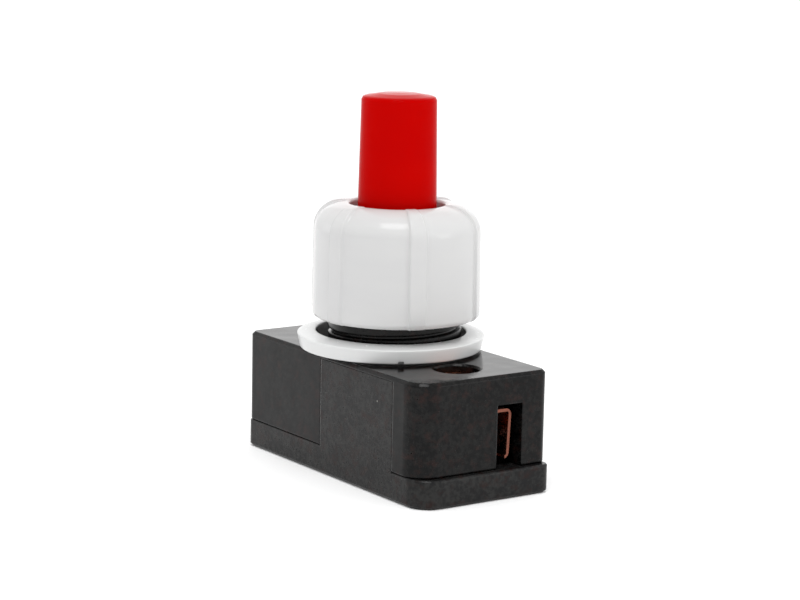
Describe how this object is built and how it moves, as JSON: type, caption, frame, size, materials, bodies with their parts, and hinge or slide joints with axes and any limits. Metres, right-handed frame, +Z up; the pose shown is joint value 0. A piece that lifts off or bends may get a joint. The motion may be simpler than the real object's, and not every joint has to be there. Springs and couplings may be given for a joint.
{
  "type": "self locking push switch",
  "caption": "Panel push switch that latches when pressed, with a flat screw-terminal body, threaded neck, washer, domed cap nut and long red button.",
  "frame": {"origin": "under the push button's axis, on the flat face of the base cover that the switch stands on", "axes": "+Z up along the push button; +X along the long side of the body towards the near wire slot; Y across the body"},
  "size_m": [0.0237, 0.014, 0.0284],
  "materials": {
    "housing_plastic": "moulded thermoset, fine mottle",
    "washer_plastic": "white, satin",
    "nut_plastic": "off-white, glossy",
    "button_plastic": "red, glossy",
    "rotor_plastic": "natural acetal",
    "spring_steel": "bright wire",
    "bridge_brass": "blanked strip",
    "terminal_copper": "copper, slightly oxidised",
    "contact_silver": "silver",
    "plate_steel": "plated",
    "screw_copper": "copper plated"
  },
  "bodies": {
    "body": {"upper_housing": "housing_plastic", "base_cover": "housing_plastic", "neck_washer": "washer_plastic", "terminal_near": "terminal_copper", "terminal_far": "terminal_copper", "fixed_contact_near": "contact_silver", "fixed_contact_far": "contact_silver", "return_spring": "spring_steel"},
    "button": {"push_button": "button_plastic"},
    "rotor": {"ratchet_rotor": "rotor_plastic", "retaining_clip": "spring_steel"},
    "bridge": {"contact_bridge": "bridge_brass", "bridge_contact_near": "contact_silver", "bridge_contact_far": "contact_silver", "contact_spring": "spring_steel"},
    "nut": {"cap_nut": "nut_plastic"},
    "wire_plate_near": {"wire_plate_near": "plate_steel"},
    "clamp_screw_near": {"clamp_screw_near": "screw_copper"},
    "wire_plate_far": {"wire_plate_far": "plate_steel"},
    "clamp_screw_far": {"clamp_screw_far": "screw_copper"}
  },
  "joints": [
    {"name": "button_press", "type": "slide", "parent": "body", "child": "button", "axis": [0, 0, -1], "range_m": [0, 0.0035], "stiffness_N_per_m": 350, "springref_m": -0.002, "deforming": ["return_spring"]},
    {"name": "rotor_step", "type": "hinge", "parent": "button", "child": "rotor", "pos_m": [0, 0, 0.0116], "axis": [0, 0, 1], "range_deg": [0, 22.51]},
    {"name": "bridge_give", "type": "slide", "parent": "button", "child": "bridge", "axis": [0, 0, 1], "range_m": [0, 0.00106], "deforming": ["contact_spring"]},
    {"name": "nut_travel", "type": "slide", "parent": "body", "child": "nut", "axis": [0, 0, 1], "range_m": [-0.00115, 0.0051]},
    {"name": "wire_plate_near_travel", "type": "slide", "parent": "body", "child": "wire_plate_near", "axis": [0, 0, -1], "range_m": [0, 0.0012]},
    {"name": "clamp_screw_near_turn", "type": "hinge", "parent": "wire_plate_near", "child": "clamp_screw_near", "pos_m": [0.008, 0, 0.008], "axis": [0, 0, -1], "range_deg": [0, 864]},
    {"name": "wire_plate_far_travel", "type": "slide", "parent": "body", "child": "wire_plate_far", "axis": [0, 0, -1], "range_m": [0, 0.0012]},
    {"name": "clamp_screw_far_turn", "type": "hinge", "parent": "wire_plate_far", "child": "clamp_screw_far", "pos_m": [-0.008, 0, 0.008], "axis": [0, 0, -1], "range_deg": [0, 864]}
  ],
  "couplings": [
    {"joint": "rotor_step", "follows": "button_press", "rad_per_m": 112.2},
    {"joint": "bridge_give", "follows": "button_press", "ratio": 0.3036},
    {"joint": "clamp_screw_near_turn", "follows": "wire_plate_near_travel", "rad_per_m": 12565},
    {"joint": "clamp_screw_far_turn", "follows": "wire_plate_far_travel", "rad_per_m": 12565}
  ]
}
